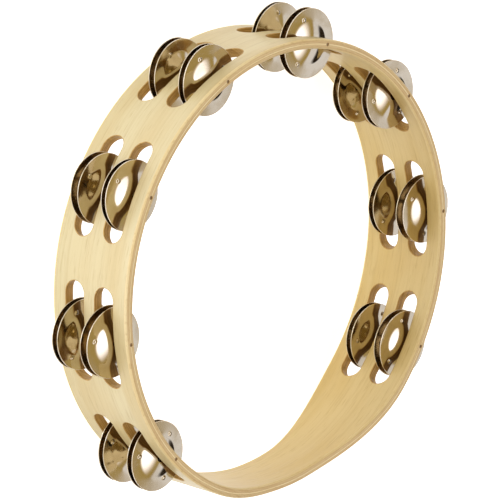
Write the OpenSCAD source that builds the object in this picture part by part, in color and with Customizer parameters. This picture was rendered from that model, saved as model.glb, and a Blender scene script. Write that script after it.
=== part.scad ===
// Headless tambourine: a bent plywood hoop with a narrowed hand grip, two rows of
// slots, and in each slot a pair of thin domed jingles riding loose on a steel pin.
//
// Frame: the hoop lies flat on its back edge. +Z runs along the hoop's axis, from the
// back edge (z = 0) to the front edge. The grip is at -Y. The origin is on the axis.

/* [Hoop] */
// Outer diameter of the hoop
hoop_d = 254; // [250:1:280]
// Width of the hoop from its back edge to its front edge
hoop_w = 55; // [54:0.5:60]
// Thickness of the bent plywood
hoop_t = 5.5; // [5:0.1:7]
// Thickness of the inner and the outer face ply
face_ply_t = 0.9; // [0.6:0.1:1.2]
// Thickness of the pale middle ply
middle_ply_t = 0.8; // [0.4:0.1:1.2]
// Rounding of the hoop's four edges
edge_r = 1.6; // [1:0.1:2]

/* [Hand grip] */
// How far each edge is cut away in the middle of the grip
grip_depth = 9.8; // [8:0.1:12]
// Half the length of the cut, measured straight across
grip_reach = 83; // [76:1:84]
// Half the length of the level stretch in the middle of the cut
grip_level = 12; // [4:1:30]

/* [Slots and pins] */
// Angle between one slot position and the next
slot_pitch = 36.4; // [34:0.1:37]
// Length of a slot, end to end
slot_l = 56; // [50:1:58]
// Width of a slot, along the hoop's axis
slot_w = 13.2; // [13:0.1:14]
// Distance between the middles of the two rows of slots
row_gap = 21.6; // [20:0.1:23]
// Diameter of a jingle pin
pin_d = 2; // [1.6:0.1:2.4]
// How far the pin's front end sits below the front edge
pin_recess = 0.4; // [0.2:0.1:1]
// Wood left between the pin's back end and the back edge
pin_stop = 4; // [3:0.5:6]

/* [Jingles] */
// Outer diameter of a jingle
jingle_d = 38.5; // [34:0.5:40]
// Height of a jingle from its rim plane to the top of its dome
jingle_h = 3.3; // [2.5:0.1:3.5]
// Thickness of the sheet metal
sheet_t = 0.5; // [0.3:0.1:0.7]
// Diameter of the dome where it rises from the flange
dome_d = 24.6; // [22:0.2:25]
// Diameter of the loose hole round the pin
hole_d = 5.4; // [4.6:0.1:6]
// Usual gap between the rims of a pair
pair_gap = 3.4; // [2.8:0.1:3.4]
// How far a pair has slid from the middle of its slot towards the front edge
pair_shift = 0.6; // [0:0.1:0.7]
// Distance of the stamped bumps from the jingle's middle, as a share of its radius
bump_place = 0.72; // [0.7:0.01:0.8]
// Diameter of a stamped bump
bump_d = 2.2; // [1.6:0.1:2.6]
// Height of a stamped bump above the flange
bump_h = 0.6; // [0.3:0.1:0.8]

/* [Hidden] */
$fn = 96;
STATIONS = 8;
BUMPS = 3;
GRIP_STEPS = 24;
ROWS = ["front", "back"];
PLIES = ["outer_face_ply", "outer_core_ply", "middle_ply", "inner_core_ply", "inner_face_ply"];

hoop_r = hoop_d / 2;
core_ply_t = (hoop_t - 2 * face_ply_t - middle_ply_t) / 2;
ply_t = [face_ply_t, core_ply_t, middle_ply_t, core_ply_t, face_ply_t];
pin_ring_r = hoop_r - hoop_t / 2;
bump_ring_r = jingle_d / 2 * bump_place;

// A jingle hangs towards the grip, with its hole's edge nearly on the pin.
pin_clearance = 0.2;
hang = (hole_d - pin_d) / 2 - pin_clearance;

// The turn of each jingle on its pin, in degrees, one list for each of the four
// jingles at a station: front row a and b, then back row a and b.
TURNS = [
    [5, 20, 25, 30, 5, 105, 100, 65],
    [80, 15, 100, 65, 30, 90, 5, 45],
    [90, 95, 95, 15, 10, 110, 45, 50],
    [10, 60, 115, 30, 95, 50, 80, 20]
];

// How much further apart than pair_gap each pair hangs, front row and then back row.
GAP_PLAY = [
    [0.6, 1.2, -0.2, 0.2, -0.4, -0.8, 1, -0.4],
    [-0.4, -0.4, 0, -1.4, 0.2, 1.2, -0.2, -0.4]
];

function ply_r(i, n = 0) = n == i ? hoop_r : ply_r(i - 1, n) - ply_t[i - 1];
function station_angle(k) = 90 + (k - (STATIONS + 1) / 2) * slot_pitch;
function row_z(row) = hoop_w / 2 + (row == "front" ? 1 : -1) * row_gap / 2;
function jingle_name(row, k, side) = str("jingle_", row, "_", k, side);

// Moves its children from the middle of the front view to a pin's axis.
module at_station(k) {
    rotate([0, 0, station_angle(k)])
        translate([pin_ring_r, 0, 0])
            children();
}

// The hoop's whole section, with the radius along X and the width along Y.
module hoop_section() {
    r0 = hoop_r - hoop_t;
    translate([r0 + edge_r, 0])
        square([hoop_t - 2 * edge_r, hoop_w]);
    translate([r0, edge_r])
        square([hoop_t, hoop_w - 2 * edge_r]);
    for (r = [r0 + edge_r, hoop_r - edge_r], z = [edge_r, hoop_w - edge_r])
        translate([r, z])
            circle(edge_r);
}

// How deep the cut is at a distance x from the middle of the grip: level, then an
// easy S down to nothing.
function grip_cut(x) =
    let (t = min(1, (grip_reach - abs(x)) / (grip_reach - grip_level)))
    grip_depth * t * t * (3 - 2 * t);

// What the grip takes off the back edge, seen from the front.
module grip_outline() {
    polygon([
        for (i = [-GRIP_STEPS:GRIP_STEPS])
            let (x = grip_reach * i / GRIP_STEPS)
            [x, grip_cut(x)],
        [grip_reach, -1],
        [-grip_reach, -1]
    ]);
}

module grip_cuts() {
    for (back = [true, false])
        translate([0, -hoop_r / 3, back ? 0 : hoop_w])
            mirror([0, 0, back ? 0 : 1])
                rotate([90, 0, 0])
                    linear_extrude(hoop_r)
                        grip_outline();
}

// A round-ended slot through the hoop, one for each row at each station.
module slot_cuts() {
    straight = slot_l - slot_w;
    for (k = [1:STATIONS], row = ROWS)
        at_station(k)
            translate([-hoop_t, 0, row_z(row)])
                rotate([90, 0, 90])
                    linear_extrude(2 * hoop_t) {
                        translate([-straight / 2, -slot_w / 2])
                            square([straight, slot_w]);
                        for (end = [-1, 1])
                            translate([end * straight / 2, 0])
                                circle(slot_w / 2);
                    }
}

// The blind holes that the pins are driven into from the front edge.
module pin_holes() {
    for (k = [1:STATIONS])
        at_station(k)
            translate([0, 0, pin_stop])
                cylinder(d = pin_d, h = hoop_w);
}

// One bent layer of the hoop, counted from the outside.
module ply(i) {
    inside = ply_r(i) - ply_t[i];
    color(i % 4 == 0 ? "palegoldenrod" : i == 2 ? "wheat" : "burlywood")
        difference() {
            rotate_extrude()
                intersection() {
                    hoop_section();
                    translate([inside, 0])
                        square([ply_t[i], hoop_w]);
                }
            grip_cuts();
            slot_cuts();
            if (i > 0 && i < len(ply_t) - 1)
                pin_holes();
        }
}

module pin(k) {
    color("dimgray")
        at_station(k)
            translate([0, 0, pin_stop])
                cylinder(d = pin_d, h = hoop_w - pin_recess - pin_stop);
}

// The jingle's cut section: a flat flange, then a domed middle with its hole.
module jingle_section() {
    rise = jingle_h - sheet_t;
    dome_r = (pow(dome_d / 2, 2) + pow(rise, 2)) / (2 * rise);
    translate([dome_d / 2 - sheet_t, 0])
        square([(jingle_d - dome_d) / 2 + sheet_t, sheet_t]);
    intersection() {
        difference() {
            translate([0, jingle_h - dome_r])
                circle(dome_r);
            translate([0, jingle_h - dome_r])
                circle(dome_r - sheet_t);
        }
        translate([hole_d / 2, 0])
            square([(dome_d - hole_d) / 2, jingle_h]);
    }
}

module bump() {
    bump_r = (pow(bump_d / 2, 2) + pow(bump_h, 2)) / (2 * bump_h);
    intersection() {
        translate([0, 0, sheet_t + bump_h - bump_r])
            sphere(bump_r);
        cylinder(r = bump_r, h = sheet_t + 2 * bump_h);
    }
}

// A jingle with its rim plane on z = 0 and its dome up.
module jingle(turn) {
    color("silver")
        rotate([0, 0, turn]) {
            rotate_extrude()
                jingle_section();
            for (i = [0:BUMPS - 1])
                rotate([0, 0, i * 360 / BUMPS])
                    translate([bump_ring_r, 0, 0])
                        bump();
        }
}

// Jingle a has its dome to the front edge and jingle b to the back edge.
module hung_jingle(row, k, side) {
    list = (row == "front" ? 0 : 2) + (side == "a" ? 0 : 1);
    gap = pair_gap + GAP_PLAY[row == "front" ? 0 : 1][k - 1];
    rim = (side == "a" ? 1 : -1) * gap / 2 + pair_shift;
    translate([0, -hang, row_z(row) + rim])
        at_station(k)
            mirror([0, 0, side == "a" ? 0 : 1])
                jingle(TURNS[list][k - 1]);
}

for (i = [0:len(PLIES) - 1])
    ply(i);
for (k = [1:STATIONS])
    pin(k);
for (row = ROWS, k = [1:STATIONS], side = ["a", "b"])
    hung_jingle(row, k, side);
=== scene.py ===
"""Looks of the headless tambourine: the bent plies of the hoop, the jingles and the studio.

Lengths are in metres, in the row frame: the hoop lies on z = 0 with its grip at -Y.
"""
import math

import bmesh
import bpy
import numpy as np
from mathutils import Matrix, Vector


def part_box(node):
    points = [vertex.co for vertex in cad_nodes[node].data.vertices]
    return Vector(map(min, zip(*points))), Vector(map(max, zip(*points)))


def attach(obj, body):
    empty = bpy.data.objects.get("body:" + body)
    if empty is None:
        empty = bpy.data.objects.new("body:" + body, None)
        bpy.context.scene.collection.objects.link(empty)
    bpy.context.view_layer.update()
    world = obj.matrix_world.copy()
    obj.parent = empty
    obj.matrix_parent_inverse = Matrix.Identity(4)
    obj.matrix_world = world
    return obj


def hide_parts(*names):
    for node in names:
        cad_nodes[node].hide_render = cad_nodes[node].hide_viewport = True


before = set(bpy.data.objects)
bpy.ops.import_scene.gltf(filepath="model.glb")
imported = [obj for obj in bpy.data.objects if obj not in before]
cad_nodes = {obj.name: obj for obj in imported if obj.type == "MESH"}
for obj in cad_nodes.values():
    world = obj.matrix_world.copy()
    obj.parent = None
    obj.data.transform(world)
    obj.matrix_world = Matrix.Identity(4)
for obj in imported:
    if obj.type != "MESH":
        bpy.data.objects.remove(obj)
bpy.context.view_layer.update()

MM = 0.001

# ---------------------------------------------------------------- sizes

# The plies from the outside in, with the record's material slot of each.
PLIES = {
    "outer_face_ply": "face_veneer",
    "outer_core_ply": "core_veneer",
    "middle_ply": "middle_veneer",
    "inner_core_ply": "core_veneer",
    "inner_face_ply": "face_veneer",
}
# Sizes that the frame's boxes don't give. R is a radius, H a height and T a thickness.
EDGE_ROUND = 1.6 * MM       # the radius of the hoop's rounded edges
SLOT_ROUND = 0.5 * MM
SLOT_LENGTH = 56 * MM
SLOT_WIDTH = 13.2 * MM
ROW_GAP = 21.6 * MM         # between the middles of the two rows
GRIP_DEPTH = 9.8 * MM       # of the cut into each edge at the grip
GRIP_REACH = 83 * MM        # from the middle of the grip to where the cut ends
GRIP_LEVEL = 12 * MM        # from the middle of the grip to where the cut starts to fade
GRIP_ANGLE = -math.pi / 2

SHEET_T = 0.5 * MM
DOME_R = 12.3 * MM
DOME_BLEND = 0.5 * MM       # the softness of the bend between dome and flange
BLEND_GAIN = DOME_BLEND / 16    # about what that bend adds to the dome at the hole's edge
FLANGE_RISE = 0.12 * MM
HOLE_R = 2.7 * MM
BUMPS = 3
BUMP_PLACE = 0.72           # of a jingle's radius
BUMP_R = 1.3 * MM
BUMP_H = 0.6 * MM

# The turn of each jingle on its pin, in degrees, by row and side, from pin 1 to pin 8.
TURNS = {
    ("front", "a"): [5, 20, 25, 30, 5, 105, 100, 65],
    ("front", "b"): [80, 15, 100, 65, 30, 90, 5, 45],
    ("back", "a"): [90, 95, 95, 15, 10, 110, 45, 50],
    ("back", "b"): [10, 60, 115, 30, 95, 50, 80, 20],
}


def box_middle(node):
    low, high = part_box(node)
    return (low + high) / 2


def box_size(node):
    low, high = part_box(node)
    return high - low


HOOP_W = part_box("middle_ply")[1].z
# The outer radius of each ply, then the hoop's inner radius. Both face plies are equally thick.
PLY_RADII = [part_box(name)[1].x for name in PLIES]
PLY_RADII.append(PLY_RADII[-1] - (PLY_RADII[0] - PLY_RADII[1]))
HOOP_R, HOOP_INNER_R = PLY_RADII[0], PLY_RADII[-1]

PINS = [f"pin_{number}" for number in range(1, 1 + len(TURNS["front", "a"]))]
STATIONS = np.unwrap([math.atan2(box_middle(pin).y, box_middle(pin).x) for pin in PINS])
PITCH = STATIONS[4] - STATIONS[3]
PIN_R = box_size(PINS[3]).x / 2
JINGLE_R = box_size("jingle_front_1a").x / 2
JINGLE_H = box_size("jingle_front_1a").z

# ---------------------------------------------------------------- mesh helpers

MERGE_UNDER = 0.002 * MM    # points closer than this become one


class Patchwork:
    """Faces with a material number each, on points that are merged where they meet."""

    def __init__(self):
        self.points = []
        self.faces = []
        self.kinds = []

    def grid(self, rows, kind, closed=False):
        """Quads between rows of points. closed joins each row's end to its start."""
        rows = np.asarray(rows, float)
        count, width = rows.shape[:2]
        start = len(self.points)
        self.points += [tuple(p) for p in rows.reshape(-1, 3)]
        for i in range(count - 1):
            for j in range(width if closed else width - 1):
                here, there = start + i * width, start + (i + 1) * width
                k = (j + 1) % width
                self.faces.append((here + j, here + k, there + k, there + j))
                self.kinds.append(kind)

    def piece(self, name, materials, sharp_angle):
        """One closed, smooth object, with its edges over sharp_angle degrees kept sharp."""
        mesh = bpy.data.meshes.new(name)
        mesh.from_pydata(self.points, [], self.faces)
        mesh.polygons.foreach_set("material_index", self.kinds)
        for material in materials:
            mesh.materials.append(material)
        work = bmesh.new()
        work.from_mesh(mesh)
        bmesh.ops.remove_doubles(work, verts=work.verts, dist=MERGE_UNDER)
        bmesh.ops.recalc_face_normals(work, faces=work.faces)
        for face in work.faces:
            face.smooth = True
        work.to_mesh(mesh)
        work.free()
        mesh.set_sharp_from_angle(angle=math.radians(sharp_angle))
        made = bpy.data.objects.new(name, mesh)
        bpy.context.scene.collection.objects.link(made)
        return made


def around(r, angle, z):
    """Points at radius r from the hoop's axis."""
    angle, z = np.broadcast_arrays(angle, z)
    return np.stack([r * np.cos(angle), r * np.sin(angle), z], -1)


# ---------------------------------------------------------------- the hoop's plies

END_STEPS = 6       # of a slot's round end, from its straight wall to the side arc
SIDE_STEPS = 12     # over the side arc of a slot's end
RUN_STEPS = 30      # along a slot's straight wall
SIDE_ARC = math.radians(50)
CELL_STEPS = 5      # from a slot to the border of its cell
GRIP_STEPS = 48     # round the stretch with no slots
ROUND_STEPS = 6     # over a rounded corner
LEAST_STEP = 0.015 * MM
CELL_ACROSS = END_STEPS * 2 + RUN_STEPS     # along the side of a slot's cell
GRIP_START = STATIONS[-1] + PITCH / 2
GRIP_END = STATIONS[0] - PITCH / 2 + 2 * math.pi
PLY_SHARP_ANGLE = 32

# The places of a ply's materials in its list.
FACE, EDGE, SLOT_WALL = 0, 1, 2


def grip_cut(x):
    """How far the grip's cut goes in from an edge, at x from the middle of the grip."""
    t = np.clip((GRIP_REACH - np.abs(x)) / (GRIP_REACH - GRIP_LEVEL), 0, 1)
    return GRIP_DEPTH * t * t * (3 - 2 * t)


def corner_inset(r, radius):
    """How far a rounded corner of that radius has drawn in, at radius r of the hoop."""
    depth = max(0.0, radius - (HOOP_R - r), radius - (r - HOOP_INNER_R))
    return radius - math.sqrt(max(0.0, radius * radius - depth * depth))


def edge_height(r, angle):
    """Height of the back edge's surface at radius r. The front edge mirrors it."""
    turn = np.asarray(angle) - GRIP_ANGLE
    cut = np.where(np.cos(turn) > 0, grip_cut(r * np.sin(turn)), 0.0)
    return cut + corner_inset(r, EDGE_ROUND)


def wall_radii(r_out, r_in):
    """The radii where a ply's walls get a ring of points, closer over a rounded corner."""
    turns = [math.pi / 2 * i / ROUND_STEPS for i in range(ROUND_STEPS + 1)]
    depths = [radius * (1 - math.cos(t)) for radius in (EDGE_ROUND, SLOT_ROUND) for t in turns]
    wanted = [HOOP_R - d for d in depths] + [HOOP_INNER_R + d for d in depths]
    radii = [r_out]
    for r in sorted(wanted, reverse=True):
        if radii[-1] - LEAST_STEP > r > r_in + LEAST_STEP:
            radii.append(r)
    return radii + [r_in]


def stadium(inset):
    """(x, z) round a slot, seen along its station's radius, from the corner of its cell at
    low x and low z, by the low wall, the high end, the high wall and the low end."""
    half, radius = (SLOT_LENGTH - SLOT_WIDTH) / 2, SLOT_WIDTH / 2 + inset
    quarter = math.pi / 2
    turns = np.concatenate([
        np.linspace(SIDE_ARC - 2 * quarter, -quarter, END_STEPS, endpoint=False),
        np.full(RUN_STEPS, -quarter),
        np.linspace(-quarter, -SIDE_ARC, END_STEPS, endpoint=False),
        np.linspace(-SIDE_ARC, SIDE_ARC, SIDE_STEPS, endpoint=False),
    ])
    turns = np.concatenate([turns, turns + 2 * quarter])
    runs = np.linspace(-half, half, RUN_STEPS, endpoint=False)
    ends = np.full(END_STEPS, half)
    centres = np.concatenate([-ends, runs, ends, np.full(SIDE_STEPS, half)])
    centres = np.concatenate([centres, -centres])
    return centres + radius * np.cos(turns), radius * np.sin(turns)


def slot_ring(r, station, front):
    """Points round a slot at radius r. Its walls run along the station's radius."""
    x, z = stadium(corner_inset(r, SLOT_ROUND))
    height = (HOOP_W - ROW_GAP) / 2 + z
    return around(r, station + np.arcsin(x / r), HOOP_W - height if front else height)


def cell_angles(station):
    """The angles of the points along the hoop's edge, over the cell of a station's slots."""
    return station + PITCH * (np.linspace(0, 1, CELL_ACROSS, endpoint=False) - 0.5)


def cell_ring(r, station, front):
    """Points round the cell of a slot, from the hoop's edge to the middle of its width, one
    for each point of the slot's ring."""
    angles = cell_angles(station)
    share = np.linspace(0, 1, SIDE_STEPS, endpoint=False)
    low = edge_height(r, angles)
    side_low = edge_height(r, station + PITCH / 2)
    far_low = edge_height(r, station - PITCH / 2)
    middle = HOOP_W / 2
    angle = np.concatenate([
        angles, np.full(SIDE_STEPS, station + PITCH / 2),
        2 * station - angles, np.full(SIDE_STEPS, station - PITCH / 2),
    ])
    height = np.concatenate([
        low, side_low + (middle - side_low) * share,
        np.full(CELL_ACROSS, middle), middle + (far_low - middle) * share,
    ])
    return around(r, angle, HOOP_W - height if front else height)


def on_hoop(points, r):
    """The points, moved out to radius r."""
    reach = np.hypot(points[..., 0], points[..., 1])
    scale = np.stack([r / reach, r / reach, np.ones_like(reach)], -1)
    return points * scale


def grip_rows(r):
    """Rows of points over the stretch with no slots, from the last station to the first."""
    angles = np.linspace(GRIP_START, GRIP_END, GRIP_STEPS + 1)
    low = edge_height(r, angles)
    shares = np.linspace(0, 1, SIDE_STEPS + 1)
    lower = [low + (HOOP_W / 2 - low) * share for share in shares]
    upper = [HOOP_W - z for z in reversed(lower[:-1])]
    return [around(r, angles, z) for z in lower + upper]


def edge_ring(r, front):
    """Points along the whole of an edge at radius r."""
    cells = [cell_angles(station) for station in STATIONS]
    grip = np.linspace(GRIP_START, GRIP_END, GRIP_STEPS, endpoint=False)
    angles = np.concatenate([*cells, grip])
    height = edge_height(r, angles)
    return around(r, angles, HOOP_W - height if front else height)


def make_ply(name, r_out, r_in, materials):
    """One bent layer of the hoop, closed all round."""
    work = Patchwork()
    for r in (r_out, r_in):
        for station in STATIONS:
            for front in (False, True):
                inner, outer = slot_ring(r, station, front), cell_ring(r, station, front)
                shares = np.linspace(0, 1, CELL_STEPS + 1)[:, None, None]
                work.grid(on_hoop(inner + (outer - inner) * shares, r), FACE, closed=True)
        work.grid(grip_rows(r), FACE)
    radii = wall_radii(r_out, r_in)
    for front in (False, True):
        work.grid([edge_ring(r, front) for r in radii], EDGE, closed=True)
        for station in STATIONS:
            work.grid([slot_ring(r, station, front) for r in radii], SLOT_WALL, closed=True)
    return work.piece(name, materials, PLY_SHARP_ANGLE)


# ---------------------------------------------------------------- materials


class Nodes:
    """Short ways to add nodes to the tree of a material or of the world."""

    def __init__(self, tree):
        self.tree = tree

    def node(self, kind, **settings):
        made = self.tree.nodes.new(kind)
        for name, value in settings.items():
            setattr(made, name, value)
        return made

    def feed(self, socket, value):
        """Link value to the socket, or set it there where it is a plain number or colour."""
        if isinstance(value, bpy.types.NodeSocket):
            self.tree.links.new(value, socket)
        else:
            socket.default_value = value

    def math(self, operation, first, second=0.0):
        made = self.node("ShaderNodeMath", operation=operation)
        self.feed(made.inputs[0], first)
        self.feed(made.inputs[1], second)
        return made.outputs[0]

    def distance(self, first, second):
        """The length of a line that goes first along one axis and second along another."""
        squares = self.math("ADD", self.math("MULTIPLY", first, first),
                            self.math("MULTIPLY", second, second))
        return self.math("SQRT", squares)

    def part_along(self, place, axis):
        """How far a place goes along an axis."""
        made = self.node("ShaderNodeVectorMath", operation="DOT_PRODUCT")
        self.feed(made.inputs[0], place)
        made.inputs[1].default_value = axis
        return made.outputs["Value"]

    def noise(self, place, stretch, detail=3.0, twist=0.0):
        """Noise from 0 to 1, with about stretch features a metre along each axis."""
        scaled = self.node("ShaderNodeVectorMath", operation="MULTIPLY")
        self.feed(scaled.inputs[0], place)
        scaled.inputs[1].default_value = stretch
        made = self.node("ShaderNodeTexNoise")
        self.feed(made.inputs["Vector"], scaled.outputs[0])
        made.inputs["Scale"].default_value = 1
        made.inputs["Detail"].default_value = detail
        made.inputs["Distortion"].default_value = twist
        return made.outputs["Fac"]

    def spread(self, value, low, high, to_low=0.0, to_high=1.0):
        """value from low to high, mapped smoothly to to_low and to_high."""
        made = self.node("ShaderNodeMapRange", interpolation_type="SMOOTHSTEP")
        self.feed(made.inputs["Value"], value)
        made.inputs["From Min"].default_value = low
        made.inputs["From Max"].default_value = high
        made.inputs["To Min"].default_value = to_low
        made.inputs["To Max"].default_value = to_high
        return made.outputs["Result"]

    def blend(self, share, first, second, mode="MIX"):
        """The first colour, with a share of the second laid over it, or added in mode ADD."""
        made = self.node("ShaderNodeMix", data_type="RGBA", blend_type=mode)
        self.feed(made.inputs["Factor"], share)
        self.feed(made.inputs[6], first)
        self.feed(made.inputs[7], second)
        return made.outputs[2]

    def bump(self, height, distance):
        """A normal that leans as if height 1 stood out by the distance, at half strength."""
        made = self.node("ShaderNodeBump")
        self.feed(made.inputs["Height"], height)
        made.inputs["Distance"].default_value = distance
        made.inputs["Strength"].default_value = 0.5
        return made.outputs["Normal"]


class Shading(Nodes):
    """A new material with its shader."""

    def __init__(self, name, roughness, metallic=0.0):
        self.material = bpy.data.materials.new(name)
        self.material.use_nodes = True
        super().__init__(self.material.node_tree)
        self.shader = self.tree.nodes["Principled BSDF"]
        self.shader.inputs["Roughness"].default_value = roughness
        self.shader.inputs["Metallic"].default_value = metallic
        self.place = self.node("ShaderNodeTexCoord").outputs["Object"]

    def set(self, socket, value):
        """Feed a socket of the shader."""
        self.feed(self.shader.inputs[socket], value)


def colour(red, green, blue):
    """A colour for a shader, from the 0 to 255 that it shows on a screen."""
    return (*[((c / 255 + 0.055) / 1.055) ** 2.4 for c in (red, green, blue)], 1)


def along_grain(shading):
    """Places where the third axis runs across the plies' grain, and the distance from the
    hoop's axis. The grain runs round the hoop."""
    split = shading.node("ShaderNodeSeparateXYZ")
    shading.feed(split.inputs[0], shading.place)
    x, y, z = split.outputs
    r = shading.distance(x, y)
    join = shading.node("ShaderNodeCombineXYZ")
    shading.feed(join.inputs[0], x)
    shading.feed(join.inputs[1], y)
    shading.feed(join.inputs[2], shading.math("ADD", z, r))
    return join.outputs[0], r


VENEER_ROUGHNESS = 0.42
# The colour of the painted shade on slot walls that face the back edge.
SLOT_SHADE_COLOUR = colour(70, 32, 12)


def wood(name, pale, warm, streak):
    """Varnished veneer: long faint streaks round the hoop, with broad warm areas, short
    dashes and dark pores."""
    shading = Shading(name, VENEER_ROUGHNESS)
    place, _ = along_grain(shading)
    broad = shading.noise(place, (7, 7, 42), 2, 0.4)
    grain = shading.noise(place, (11, 11, 640), 4, 0.6)
    fine = shading.noise(place, (70, 70, 2600), 3)
    dash = shading.noise(place, (80, 80, 1500), 2)
    pore = shading.noise(place, (150, 150, 5200), 2)
    base = shading.blend(shading.spread(broad, 0.32, 0.68), pale, warm)
    base = shading.blend(shading.spread(grain, 0.45, 0.75, 0, 0.28), base, streak)
    base = shading.blend(shading.spread(dash, 0.58, 0.72, 0, 0.5), base, streak)
    base = shading.blend(shading.spread(pore, 0.6, 0.74, 0, 0.35), base, streak)
    shading.set("Base Color", base)
    rough = shading.spread(fine, 0.3, 0.7, VENEER_ROUGHNESS - 0.07, VENEER_ROUGHNESS + 0.1)
    shading.set("Roughness", rough)
    fibres = shading.math("MULTIPLY", fine, 0.6)
    height = shading.math("SUBTRACT", fibres, shading.spread(pore, 0.6, 0.74))
    shading.set("Normal", shading.bump(height, 0.05 * MM))
    shading.set("Coat Weight", 0.2)
    shading.set("Coat Roughness", 0.28)
    return shading.material


def edge_wood(name, pale, warm, glue, painted_shade=0.0):
    """The sanded edges of plies: fine layers round the hoop, with dark glue lines between.
    Walls that face the back edge are darkened by a share: painted shade, where they lie in
    shadow."""
    shading = Shading(name, roughness=0.55)
    place, r = along_grain(shading)
    layers = shading.noise(place, (30, 30, 1700), 3, 0.3)
    fibres = shading.noise(place, (420, 420, 2400), 2)
    base = shading.blend(shading.spread(layers, 0.35, 0.65), pale, warm)
    base = shading.blend(shading.spread(fibres, 0.5, 0.75, 0, 0.4), base, glue)
    for line in PLY_RADII[1:-1]:
        off = shading.math("ABSOLUTE", shading.math("SUBTRACT", r, line))
        base = shading.blend(shading.spread(off, 0.04 * MM, 0.14 * MM, 0.6, 0), base, glue)
    if painted_shade:
        facing = shading.node("ShaderNodeSeparateXYZ")
        shading.feed(facing.inputs[0], shading.node("ShaderNodeNewGeometry").outputs["Normal"])
        # Painted shade: walls that face the back edge are darkened as if in shadow.
        shade_mask = shading.spread(facing.outputs["Z"], -0.2, -0.8, 0, painted_shade)
        base = shading.blend(shade_mask, base, SLOT_SHADE_COLOUR)
    shading.set("Base Color", base)
    shading.set("Roughness", shading.spread(fibres, 0.3, 0.7, 0.45, 0.62))
    shading.set("Normal", shading.bump(shading.math("ADD", layers, fibres), 0.08 * MM))
    return shading.material


OUTSIDE_WOOD = wood(
    "outside_wood", colour(211, 198, 153), colour(205, 186, 134), colour(180, 157, 103))
INSIDE_WOOD = wood(
    "inside_wood", colour(215, 194, 137), colour(208, 182, 117), colour(184, 154, 91))
MIDDLE_EDGE = edge_wood(
    "middle_edge", colour(234, 220, 172), colour(227, 208, 154), colour(196, 166, 110))
CORE_EDGE = edge_wood(
    "core_edge", colour(214, 191, 139), colour(204, 176, 123), colour(172, 138, 88))
FACE_EDGE = edge_wood(
    "face_edge", colour(228, 210, 160), colour(220, 198, 142), colour(188, 156, 100))
# The slot walls get painted shade where they face the back edge.
SLOT_WOOD = edge_wood(
    "slot_wood", colour(200, 162, 90), colour(172, 132, 66), colour(116, 80, 36), painted_shade=0.45)


def metal(name, clean, worn, roughness, scratches):
    """Bright metal with cloudy patches, specks and fine scratches. scratches is how much
    rougher a scratch is."""
    shading = Shading(name, roughness, metallic=1)
    clouds = shading.noise(shading.place, (70, 70, 70), 3, 0.5)
    fine = shading.noise(shading.place, (900, 900, 900), 3)
    scratch = shading.noise(shading.place, (260, 3800, 800), 2, 1.5)
    specks = shading.noise(shading.place, (1500, 1500, 1500), 1)
    marks = shading.spread(scratch, 0.62, 0.74)
    base = shading.blend(shading.spread(clouds, 0.4, 0.7, 0, 0.6), clean, worn)
    base = shading.blend(shading.spread(specks, 0.72, 0.8, 0, 0.5), base, worn)
    shading.set("Base Color", base)
    cloudy = shading.spread(clouds, 0.3, 0.75, roughness * 0.7, roughness * 1.6)
    scratched = shading.math("MULTIPLY", marks, scratches)
    shading.set("Roughness", shading.math("ADD", cloudy, scratched))
    height = shading.math("SUBTRACT", fine, shading.math("MULTIPLY", marks, 0.6))
    shading.set("Normal", shading.bump(height, 0.004 * MM))
    return shading.material


NICKEL = metal(
    "nickel_plate", colour(202, 189, 160), colour(186, 171, 138), roughness=0.10, scratches=0.12)
# The rim's paler colour is a painted highlight along the rounded edge; its roughness is its own.
NICKEL_RIM_HIGHLIGHT = metal(
    "nickel_rim_highlight", colour(238, 228, 206), colour(216, 200, 170), roughness=0.30, scratches=0.12)
# The underside's darker colour is painted shade for the hollow of the cup.
NICKEL_UNDERSIDE_SHADE = metal(
    "nickel_underside_shade", colour(180, 160, 124), colour(150, 130, 98), roughness=0.16, scratches=0.15)
PIN_STEEL = metal(
    "pin_steel", colour(156, 132, 98), colour(108, 86, 60), roughness=0.38, scratches=0.2)

# The materials of each ply, for its faces, its edges and its slots' walls.
PLY_LOOKS = {
    "outer_face_ply": [OUTSIDE_WOOD, FACE_EDGE, SLOT_WOOD],
    "outer_core_ply": [CORE_EDGE, CORE_EDGE, SLOT_WOOD],
    "middle_ply": [MIDDLE_EDGE, MIDDLE_EDGE, SLOT_WOOD],
    "inner_core_ply": [CORE_EDGE, CORE_EDGE, SLOT_WOOD],
    "inner_face_ply": [INSIDE_WOOD, FACE_EDGE, SLOT_WOOD],
}


BORE_SIDES = 48
BORE_PAST_EDGE = 2 * MM


def pin_bores():
    """Rods the size of the pins, from their blind ends out through the front edge."""
    work = bmesh.new()
    for pin in PINS:
        middle = box_middle(pin)
        blind_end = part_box(pin)[0].z
        length = HOOP_W + BORE_PAST_EDGE - blind_end
        place = Matrix.Translation((middle.x, middle.y, blind_end + length / 2))
        bmesh.ops.create_cone(
            work, cap_ends=True, segments=BORE_SIDES, radius1=PIN_R, radius2=PIN_R,
            depth=length, matrix=place)
    for face in work.faces:
        face.material_index = SLOT_WALL
    mesh = bpy.data.meshes.new("pin_bores")
    work.to_mesh(mesh)
    work.free()
    rods = bpy.data.objects.new("pin_bores", mesh)
    bpy.context.scene.collection.objects.link(rods)
    return rods


def drill(piece, rods):
    """Cut the rods out of the piece."""
    cut = piece.modifiers.new("bores", "BOOLEAN")
    cut.operation = "DIFFERENCE"
    cut.solver = "EXACT"
    cut.object = rods
    bpy.context.view_layer.update()
    seen = piece.evaluated_get(bpy.context.evaluated_depsgraph_get())
    mesh = bpy.data.meshes.new_from_object(seen)
    piece.modifiers.clear()
    piece.data = mesh
    mesh.set_sharp_from_angle(angle=math.radians(PLY_SHARP_ANGLE))


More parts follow.
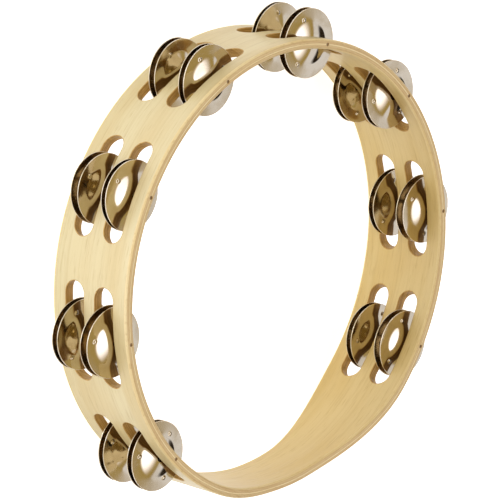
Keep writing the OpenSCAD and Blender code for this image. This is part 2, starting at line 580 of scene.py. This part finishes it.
rods = pin_bores()
for index, (ply, slot_name) in enumerate(PLIES.items()):
    made = make_ply(ply + "_bent", PLY_RADII[index], PLY_RADII[index + 1], PLY_LOOKS[ply])
    if "face" not in ply:
        drill(made, rods)
    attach(made, "hoop")
    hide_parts(ply)
bpy.data.objects.remove(rods)

for pin in PINS:
    cad_nodes[pin].data.materials.clear()
    cad_nodes[pin].data.materials.append(PIN_STEEL)

# ---------------------------------------------------------------- jingles

# A jingle's points are closer together over its bumps and over the bend round its dome.
DENSE_ANGLE = math.radians(7)
DENSE_STEPS = 14
OPEN_STEPS = 26
DENSE_FROM = DOME_R - 0.6 * MM
DENSE_TO = 15.4 * MM
DOME_RINGS = 11
DENSE_RINGS = 14
FLANGE_RINGS = 5
RIM_R = JINGLE_R - SHEET_T / 2      # where the rounded rim begins
BEFORE_RIM = 0.06 * MM              # from the last ring of the flange to the rim
RIM_STEPS = 6
JINGLE_SHARP_ANGLE = 50
BUMP_PITCH = 2 * math.pi / BUMPS

# The places of a jingle's materials in its list.
TOP, RIM, UNDERSIDE = 0, 1, 2


def jingle_angles():
    """The angles of the points round a jingle."""
    runs = []
    for i in range(BUMPS):
        start, end = i * BUMP_PITCH - DENSE_ANGLE, i * BUMP_PITCH + DENSE_ANGLE
        runs.append(np.linspace(start, end, DENSE_STEPS, endpoint=False))
        runs.append(np.linspace(end, start + BUMP_PITCH, OPEN_STEPS, endpoint=False))
    return np.concatenate(runs)


def jingle_radii():
    """The radii of the rings of points on a jingle's domed side."""
    return np.concatenate([
        np.linspace(HOLE_R, DENSE_FROM, DOME_RINGS, endpoint=False),
        np.linspace(DENSE_FROM, DENSE_TO, DENSE_RINGS, endpoint=False),
        np.linspace(DENSE_TO, RIM_R - BEFORE_RIM, FLANGE_RINGS),
        [RIM_R],
    ])


def jingle_top(r, angle):
    """Height of a jingle's domed side over the plane that its rim stands on."""
    flange = SHEET_T + FLANGE_RISE * (JINGLE_R - r) / (JINGLE_R - DOME_R)
    fall = (r ** 2 - HOLE_R ** 2) / (DOME_R ** 2 - HOLE_R ** 2)
    dome = JINGLE_H - BLEND_GAIN - (JINGLE_H - SHEET_T - FLANGE_RISE) * fall
    height = (flange + dome + np.sqrt((flange - dome) ** 2 + DOME_BLEND ** 2)) / 2
    off = (angle + BUMP_PITCH / 2) % BUMP_PITCH - BUMP_PITCH / 2
    ring = JINGLE_R * BUMP_PLACE
    far = np.hypot(r * np.cos(off) - ring, r * np.sin(off)) / BUMP_R
    return height + BUMP_H * np.clip(1 - far * far, 0, 1)


def jingle_rows(angles):
    """Rings of (radius, heights) from the hole over the domed side, round the rim and back
    under the sheet to the hole, and the numbers of the rings where the rim starts and ends."""
    top = [(r, jingle_top(r, angles)) for r in jingle_radii()]
    rim = [
        (RIM_R + SHEET_T / 2 * math.sin(t), top[-1][1] - SHEET_T / 2 * (1 - math.cos(t)))
        for t in np.linspace(0, math.pi, RIM_STEPS + 1)[1:-1]
    ]
    under = [(r, z - SHEET_T) for r, z in reversed(top)]
    return top + rim + under + top[:1], len(top) - 1, len(top) + len(rim)


def make_jingle(name, turn, station, dome_up):
    """One pressed jingle in its node's box, turned on its pin, with its dome up or down."""
    angles = jingle_angles()
    rings, rim_start, rim_end = jingle_rows(angles)
    spun = angles + station + math.radians(turn)
    middle = box_middle(name)
    low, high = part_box(name)
    points = np.array([
        np.stack([
            middle.x + r * np.cos(spun),
            middle.y + r * np.sin(spun),
            low.z + z if dome_up else high.z - z,
        ], -1)
        for r, z in rings
    ])
    work = Patchwork()
    work.grid(points[:rim_start + 1], TOP, closed=True)
    work.grid(points[rim_start:rim_end + 1], RIM, closed=True)
    work.grid(points[rim_end:], UNDERSIDE, closed=True)
    materials = [NICKEL, NICKEL_RIM_HIGHLIGHT, NICKEL_UNDERSIDE_SHADE]
    return work.piece(name + "_pressed", materials, JINGLE_SHARP_ANGLE)


for (row, side), turns in TURNS.items():
    for number, turn in enumerate(turns, 1):
        node = f"jingle_{row}_{number}{side}"
        made = make_jingle(node, turn, STATIONS[number - 1], side == "a")
        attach(made, node)
        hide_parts(node)

# ---------------------------------------------------------------- camera

# Fitted to the outlines of the hoop in the photograph. Azimuth 0 looks along +Y. The aim is
# off the hoop's middle, along the picture's own axes.
VIEW_AZIMUTH = math.radians(-116.43)
VIEW_ELEVATION = math.radians(41.69)
VIEW_ROLL = math.radians(104.08)
VIEW_DISTANCE = 2.1438
AIM_RIGHT = -0.0034
AIM_UP = 0.0067
LENS = 283
SENSOR_WIDTH = 36


def make_camera():
    """The camera of the photograph, which is rolled on its side."""
    back = Vector((
        math.sin(VIEW_AZIMUTH) * math.cos(VIEW_ELEVATION),
        -math.cos(VIEW_AZIMUTH) * math.cos(VIEW_ELEVATION),
        math.sin(VIEW_ELEVATION),
    ))
    camera = bpy.data.objects.new("camera", bpy.data.cameras.new("camera"))
    bpy.context.scene.collection.objects.link(camera)
    camera.data.lens = LENS
    camera.data.sensor_width = SENSOR_WIDTH
    camera.data.clip_start = 0.1
    camera.data.clip_end = 50
    level = (-back).to_track_quat("-Z", "Y").to_matrix()
    turned = level @ Matrix.Rotation(VIEW_ROLL, 3, "Z")
    middle = Vector((0, 0, HOOP_W / 2))
    aim = middle + turned @ Vector((AIM_RIGHT, AIM_UP, 0))
    camera.matrix_world = Matrix.Translation(aim + back * VIEW_DISTANCE) @ turned.to_4x4()
    bpy.context.scene.camera = camera


make_camera()

# ---------------------------------------------------------------- studio

scene = bpy.context.scene
scene.view_settings.view_transform = "Standard"
ROOM_COLOUR = (0.54, 0.41, 0.16, 1)
DARK_COLOUR = (0.03, 0.02, 0.012, 1)
# The sines of the elevations where the room's light begins and where it is full.
DARK_BELOW = (0.30, 0.42)
# Soft bright patches of the room: direction, half height where the light is full and where
# it ends, how much narrower they are than wide, and colour.
ROOM_PATCHES = [
    ((0.775, -0.385, 0.500), 0.19, 0.235, 0.35, (0.52, 0.68, 1.16, 1)),
    ((0.262, -0.130, 0.956), 0.02, 0.42, 0.36, (2.10, 2.30, 3.30, 1)),
]


def across_and_along(direction):
    """The level axis across a direction, and the axis that goes up beside it."""
    direction = Vector(direction).normalized()
    across = Vector((0, 0, 1)).cross(direction).normalized()
    return across, direction.cross(across)


def make_world():
    """A dim warm room, nearly black low down, with soft bright patches."""
    world = bpy.data.worlds.new("room")
    scene.world = world
    world.use_nodes = True
    nodes = Nodes(world.node_tree)
    place = nodes.node("ShaderNodeTexCoord").outputs["Generated"]
    light = ROOM_COLOUR
    for direction, inner, outer, squeeze, patch_colour in ROOM_PATCHES:
        across, along = across_and_along(direction)
        sideways = nodes.math("MULTIPLY", nodes.part_along(place, across), squeeze)
        off = nodes.distance(sideways, nodes.part_along(place, along))
        near = nodes.math("SUBTRACT", 1, nodes.spread(off, inner, outer))
        in_front = nodes.math("GREATER_THAN", nodes.part_along(place, direction), 0)
        share = nodes.math("MULTIPLY", near, in_front)
        light = nodes.blend(share, light, patch_colour, "ADD")
    share = nodes.spread(nodes.part_along(place, (0, 0, 1)), *DARK_BELOW)
    light = nodes.blend(share, DARK_COLOUR, light)
    nodes.feed(world.node_tree.nodes["Background"].inputs["Color"], light)


def softbox(name, direction, distance, width, height, power, tint):
    """A flat light that faces the middle of the hoop, from a direction."""
    light = bpy.data.lights.new(name, "AREA")
    light.shape = "RECTANGLE"
    light.size = width
    light.size_y = height
    light.energy = power
    light.color = tint
    made = bpy.data.objects.new(name, light)
    direction = Vector(direction).normalized()
    across, along = across_and_along(direction)
    turned = Matrix((across, along, direction)).transposed()
    made.matrix_world = Matrix.Translation(direction * distance) @ turned.to_4x4()
    made.visible_camera = False
    scene.collection.objects.link(made)


FLOOR_REACH = 6.0


def make_floor():
    """White paper that glows, so that it shows as pure white."""
    mesh = bpy.data.meshes.new("floor")
    signs = [(-1, -1), (1, -1), (1, 1), (-1, 1)]
    corners = [(x * FLOOR_REACH, y * FLOOR_REACH, 0) for x, y in signs]
    mesh.from_pydata(corners, [], [(0, 1, 2, 3)])
    shading = Shading("white_paper", roughness=0.85)
    fleck = shading.noise(shading.place, (400, 400, 400), 2)
    flecks = shading.spread(fleck, 0.3, 0.7)
    shading.set("Base Color", shading.blend(flecks, (0.80, 0.78, 0.75, 1), (0.82, 0.80, 0.77, 1)))
    shading.set("Emission Color", (0.95, 0.975, 1, 1))
    shading.set("Emission Strength", 0.8)
    mesh.materials.append(shading.material)
    floor = bpy.data.objects.new("floor", mesh)
    scene.collection.objects.link(floor)


make_world()
make_floor()
softbox("front_softbox", (-0.79, 0.46, 0.42), distance=1.9, width=1.3, height=1.0,
        power=9.9, tint=(1.02, 1, 0.92))
softbox("left_softbox", (-0.94, 0.32, 0.10), distance=0.45, width=0.24, height=0.10,
        power=0.28, tint=(0.84, 1, 1.6))
